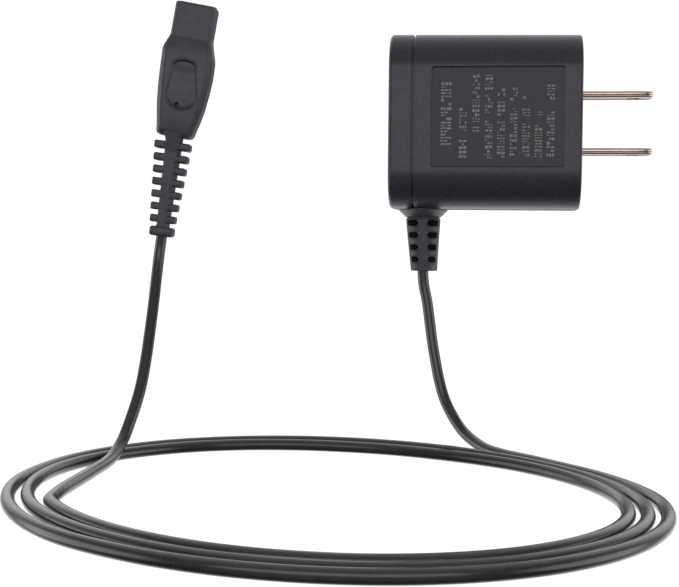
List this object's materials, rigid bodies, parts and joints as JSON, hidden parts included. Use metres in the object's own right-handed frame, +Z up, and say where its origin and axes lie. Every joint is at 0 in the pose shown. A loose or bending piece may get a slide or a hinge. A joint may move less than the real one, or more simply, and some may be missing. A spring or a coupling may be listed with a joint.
{
  "type": "trimmer mains charger",
  "caption": "Compact black plug adapter with two flat blades, a thin round cord lying in an open coil, and a slim two-hole connector with ribbed strain relief.",
  "frame": {"origin": "centre of the adapter's plug face, midway between the two blades, where it meets the wall outlet", "axes": "+X out of the plug face, the way the blades point; +Z up, across the blades' flats; -Y towards the labelled front"},
  "size_m": [0.1247, 0.1404, 0.1001],
  "materials": {
    "housing_black": "fine spark-eroded texture",
    "blade_nickel": "nickel-plated brass, satin",
    "insulator_ivory": "moulded, smooth",
    "spring_bronze": "bare phosphor bronze",
    "board_green": "solder mask over glass laminate",
    "ferrite_grey": "sintered",
    "bobbin_black": "moulded phenolic",
    "winding_yellow": "polyester tape",
    "capacitor_sleeve": "shrink sleeve",
    "chip_black": "moulded epoxy",
    "resistor_green": "lacquered",
    "ceramic_blue": "dipped epoxy",
    "cord_pvc": "soft gloss PVC",
    "relief_black": "soft satin PVC",
    "connector_grey": "matte moulded elastomer",
    "contact_brass": "plated brass",
    "lead_sleeve": "thin PVC sleeve"
  },
  "bodies": {
    "root": {"housing_shell": "housing_black", "end_cap": "housing_black", "blade_upper": "blade_nickel", "blade_lower": "blade_nickel", "blade_carrier": "insulator_ivory", "contact_springs": "spring_bronze", "circuit_board": "board_green", "transformer_core": "ferrite_grey", "transformer_bobbin": "bobbin_black", "transformer_winding": "winding_yellow", "input_capacitors": "capacitor_sleeve", "output_capacitor": "capacitor_sleeve", "bridge_rectifier": "chip_black", "fusible_resistor": "resistor_green", "input_choke": "chip_black", "controller_ic": "chip_black", "safety_capacitor": "ceramic_blue", "optocoupler": "insulator_ivory", "output_diode": "chip_black", "chip_resistors": "chip_black", "cord_inner_end": "cord_pvc", "output_leads": "lead_sleeve", "adapter_strain_relief": "relief_black", "cord_drop_adapter": "cord_pvc", "cord_coil": "cord_pvc", "cord_drop_connector": "cord_pvc", "connector_strain_relief": "connector_grey", "connector_body": "connector_grey", "connector_nose": "connector_grey", "socket_contact_left": "contact_brass", "socket_contact_right": "contact_brass", "connector_leads": "lead_sleeve"}
  },
  "joints": []
}
